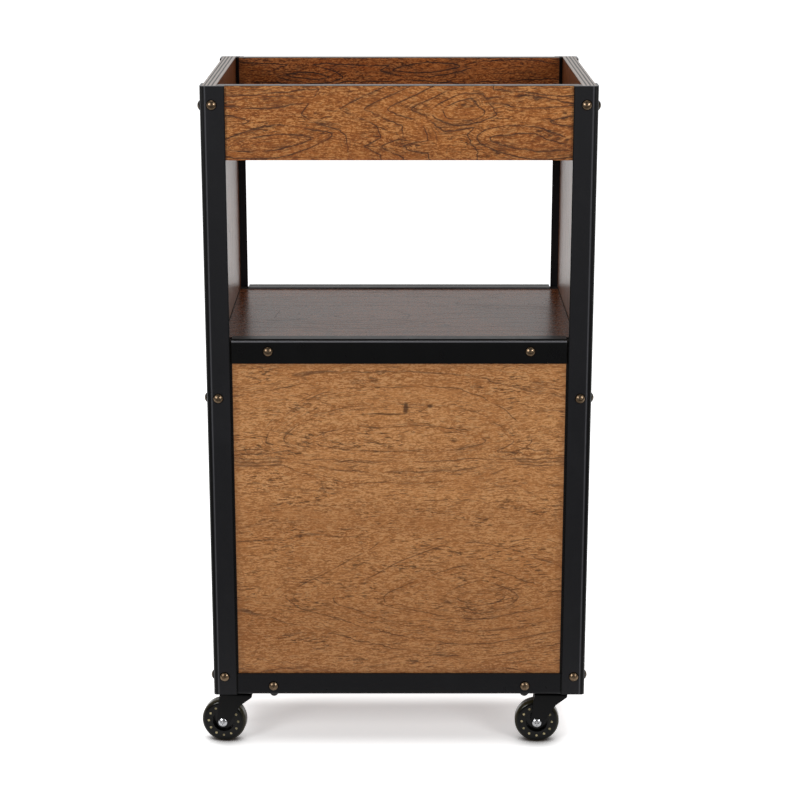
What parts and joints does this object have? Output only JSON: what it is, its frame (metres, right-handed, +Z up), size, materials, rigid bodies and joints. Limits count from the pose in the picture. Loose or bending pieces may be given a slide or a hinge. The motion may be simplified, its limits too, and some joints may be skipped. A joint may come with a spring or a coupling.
{
  "type": "serving trolley",
  "caption": "Serving trolley with a deep wooden top tray, open serving bay, shelf over a closed-front lower compartment, black steel angle frame and swivel casters.",
  "frame": {"origin": "on the floor, at the middle of the plan", "axes": "+Z up, front of the trolley towards -Y, +X to the right of someone who faces the front"},
  "size_m": [0.5434, 0.3582, 0.906],
  "materials": {
    "black_steel": "satin black powder coat",
    "tray_wood": "satin clear lacquer over mid-brown wood",
    "cabinet_wood": "satin clear lacquer over golden brown wood",
    "side_wood": "satin clear lacquer over brown wood",
    "bronze_screw": "antique bronze, polished domes",
    "dowel_wood": "plain beech",
    "zinc_steel": "bright zinc plate",
    "caster_black": "semi-gloss black",
    "wheel_core": "moulded black plastic",
    "smoky_tyre": "smoky translucent polyurethane"
  },
  "bodies": {
    "frame": {"front_left_post": "black_steel", "front_right_post": "black_steel", "back_left_post": "black_steel", "back_right_post": "black_steel", "front_shelf_rail": "black_steel", "front_bottom_rail": "black_steel", "back_shelf_rail": "black_steel", "back_bottom_rail": "black_steel", "left_side_panel": "side_wood", "right_side_panel": "side_wood", "tray_front_board": "tray_wood", "tray_back_board": "tray_wood", "tray_floor": "tray_wood", "shelf_board": "cabinet_wood", "cabinet_front_panel": "cabinet_wood", "bottom_board": "cabinet_wood", "front_post_screws": "bronze_screw", "back_post_screws": "bronze_screw", "left_post_screws": "bronze_screw", "right_post_screws": "bronze_screw", "shelf_rail_screws": "bronze_screw", "bottom_rail_screws": "bronze_screw", "bottom_cap_screws": "black_steel", "joint_dowels": "dowel_wood", "front_left_caster_cup": "caster_black", "front_left_caster_stem": "zinc_steel", "front_right_caster_cup": "caster_black", "front_right_caster_stem": "zinc_steel", "back_left_caster_cup": "caster_black", "back_left_caster_stem": "zinc_steel", "back_right_caster_cup": "caster_black", "back_right_caster_stem": "zinc_steel"},
    "front_left_caster_fork": {"front_left_fork": "caster_black", "front_left_axle": "zinc_steel", "front_left_axle_nut": "zinc_steel", "front_left_swivel_balls": "zinc_steel"},
    "front_left_wheel": {"front_left_wheel_core": "wheel_core", "front_left_tyre": "smoky_tyre"},
    "front_right_caster_fork": {"front_right_fork": "caster_black", "front_right_axle": "zinc_steel", "front_right_axle_nut": "zinc_steel", "front_right_swivel_balls": "zinc_steel"},
    "front_right_wheel": {"front_right_wheel_core": "wheel_core", "front_right_tyre": "smoky_tyre"},
    "back_left_caster_fork": {"back_left_fork": "caster_black", "back_left_axle": "zinc_steel", "back_left_axle_nut": "zinc_steel", "back_left_swivel_balls": "zinc_steel"},
    "back_left_wheel": {"back_left_wheel_core": "wheel_core", "back_left_tyre": "smoky_tyre"},
    "back_right_caster_fork": {"back_right_fork": "caster_black", "back_right_axle": "zinc_steel", "back_right_axle_nut": "zinc_steel", "back_right_swivel_balls": "zinc_steel"},
    "back_right_wheel": {"back_right_wheel_core": "wheel_core", "back_right_tyre": "smoky_tyre"}
  },
  "joints": [
    {"name": "front_left_swivel", "type": "hinge", "parent": "frame", "child": "front_left_caster_fork", "pos_m": [-0.2155, -0.139, 0.074], "axis": [0, 0, 1], "continuous": true},
    {"name": "front_left_roll", "type": "hinge", "parent": "front_left_caster_fork", "child": "front_left_wheel", "pos_m": [-0.24081, -0.13589, 0.0305], "axis": [0.1219, 0.9925, 0], "continuous": true},
    {"name": "front_right_swivel", "type": "hinge", "parent": "frame", "child": "front_right_caster_fork", "pos_m": [0.2155, -0.139, 0.074], "axis": [0, 0, 1], "continuous": true},
    {"name": "front_right_roll", "type": "hinge", "parent": "front_right_caster_fork", "child": "front_right_wheel", "pos_m": [0.19002, -0.13789, 0.0305], "axis": [0.0436, 0.999, 0], "continuous": true},
    {"name": "back_left_swivel", "type": "hinge", "parent": "frame", "child": "back_left_caster_fork", "pos_m": [-0.2155, 0.139, 0.074], "axis": [0, 0, 1], "continuous": true},
    {"name": "back_left_roll", "type": "hinge", "parent": "back_left_caster_fork", "child": "back_left_wheel", "pos_m": [-0.19002, 0.13789, 0.0305], "axis": [-0.0436, -0.999, 0], "continuous": true},
    {"name": "back_right_swivel", "type": "hinge", "parent": "frame", "child": "back_right_caster_fork", "pos_m": [0.2155, 0.139, 0.074], "axis": [0, 0, 1], "continuous": true},
    {"name": "back_right_roll", "type": "hinge", "parent": "back_right_caster_fork", "child": "back_right_wheel", "pos_m": [0.24081, 0.13589, 0.0305], "axis": [-0.1219, -0.9925, 0], "continuous": true}
  ]
}
